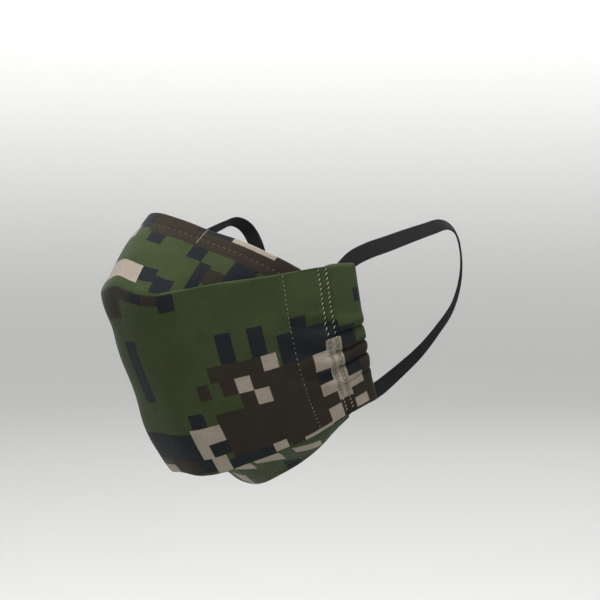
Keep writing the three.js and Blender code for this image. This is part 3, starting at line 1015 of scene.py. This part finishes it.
def strap_piece(name, path, facing):
    """A ribbed strap along a path; facing is the way its flat side looks, at each path point."""
    outline = strap_outline()
    tangent = np.gradient(path, axis=0)
    tangent /= np.linalg.norm(tangent, axis=1, keepdims=True)
    across = np.cross(facing, tangent)
    across /= np.linalg.norm(across, axis=1, keepdims=True)
    out = np.cross(tangent, across)
    rings = (path[:, None] + across[:, None] * outline[None, :, :1]
             + out[:, None] * outline[None, :, 1:])
    count, along = len(outline), len(path)
    corner = np.arange(along * count).reshape(along, count)
    nxt = np.roll(corner, -1, 1)
    quads = np.stack([corner[:-1], nxt[:-1], nxt[1:], corner[1:]], -1).reshape(-1, 4)
    faces = quads.tolist()
    half = count // 2
    for end, turned in ((corner[0], True), (corner[-1], False)):
        for k in range(half - 1):
            cap = [end[k], end[k + 1], end[count - 2 - k], end[count - 1 - k]]
            faces.append([int(c) for c in (cap[::-1] if turned else cap)])
    mesh = bpy.data.meshes.new(name)
    mesh.from_pydata((rings.reshape(-1, 3) * MM).tolist(), [], faces)
    places = np.stack([np.repeat(lengths_along(path), count), np.tile(outline[:, 0], along)], -1)
    loops = np.array([v for face in faces for v in face])
    mesh.uv_layers.new(name="strap_place").data.foreach_set(
        "uv", (places[loops] / 10).astype(np.float32).ravel())
    mesh.polygons.foreach_set("use_smooth", [True] * len(mesh.polygons))
    mesh.materials.append(black_elastic)
    mesh.update()
    piece = bpy.data.objects.new(name, mesh)
    bpy.context.scene.collection.objects.link(piece)
    print(name, round(float(lengths_along(path)[-1]), 1), "mm long")
    return piece


# %% The ear loops
LOOP_ROUTE = [[65.6, 61.5, -28], [67.3, 67, -22.8], [70.2, 75, -18.8], [73, 84, -15.9],
              [76, 95, -12.3], [79, 107, -8.7], [80.5, 117, -6.5], [80, 125, -10],
              [78.5, 131, -20], [76.5, 133, -34], [75, 129, -48], [73.5, 119, -60],
              [71.5, 109, -70], [69.3, 99, -77.8], [67, 91.5, -83.6], [65.4, 86.5, -87.2],
              [63.8, 82.5, -89.5]]
LOOP_FACING = [[0.94, -0.34, 0], [0.95, -0.2, 0.2], [0.8, -0.1, 0.6], [0.6, 0.2, 0.75],
               [0.8, 0.6, 0.2], [0.85, 0.5, -0.1], [0.95, -0.1, -0.2], [0.94, -0.34, 0]]
LOOP_RINGS = 180


def mirrored(points, side):
    return points * np.array([side, 1, 1])


route = catmull_rom(LOOP_ROUTE, 0.25)
route = at_length(route, np.linspace(0, lengths_along(route)[-1], LOOP_RINGS))
facing = catmull_rom(LOOP_FACING, 0.25)
facing = at_length(facing, np.linspace(0, lengths_along(facing)[-1], LOOP_RINGS))
for side, sign in (("left", 1), ("right", -1)):
    path = mirrored(route, sign)
    loop = strap_piece(f"ear_elastic_{side}", path, mirrored(facing, sign))
    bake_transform(loop)
    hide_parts(f"ear_loop_{side}")

# %% The runs inside the channels
channel_u = HALF_WIDTH - 5.4


def inside_channel(first, last, depth):
    """A line down the left channel, and the way out from it, at a depth under the cloth."""
    at = np.array([0.5 + (channel_u + d) / (2 * HALF_WIDTH) for d in (-2, 0, 2)])
    strip = through_rungs(centre_edges, at, np.linspace(first, last, 60))
    out = outward_of(strip)[1]
    return strip[1] - depth * out, out


for name, first, last, depth in (("in_channel", 0.01, 0.99, 1.3), ("lap", 0.36, 0.66, 2.6)):
    line, out = inside_channel(first, last, depth)
    for side, sign in (("left", 1), ("right", -1)):
        run = strap_piece(f"hidden_elastic_{side}_{name}", mirrored(line, sign),
                          mirrored(out, sign))
        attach(run, "mask_body")
        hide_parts(f"ear_elastic_{side}_{name}")

# %% [markdown]
# ## The nose strip
#
# A thin strip of soft aluminium lies in the nose hem. It can't be seen, but the part has it, so
# the CAD node stays as it is and takes a brushed metal: a noise texture that is stretched along the
# strip varies the roughness, as rolling leaves it.

# %% Aluminium
def aluminium_finish():
    material, shader, add, join = start_material("soft_aluminium", 0.38)
    shader.inputs["Base Color"].default_value = linear(192, 194, 198)
    shader.inputs["Metallic"].default_value = 1.0
    place = add("ShaderNodeTexCoord")
    stretch = add("ShaderNodeMapping")
    stretch.inputs["Scale"].default_value = (60, 900, 900)
    lines = add("ShaderNodeTexNoise")
    lines.inputs["Scale"].default_value = 3
    span = add("ShaderNodeMapRange")
    span.inputs["To Min"].default_value = 0.3
    span.inputs["To Max"].default_value = 0.5
    join(place.outputs["Object"], stretch.inputs["Vector"])
    join(stretch.outputs["Vector"], lines.inputs["Vector"])
    join(lines.outputs["Fac"], span.inputs["Value"])
    join(span.outputs[0], shader.inputs["Roughness"])
    return material


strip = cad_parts["nose_wire"]
strip.data.materials.clear()
strip.data.materials.append(aluminium_finish())
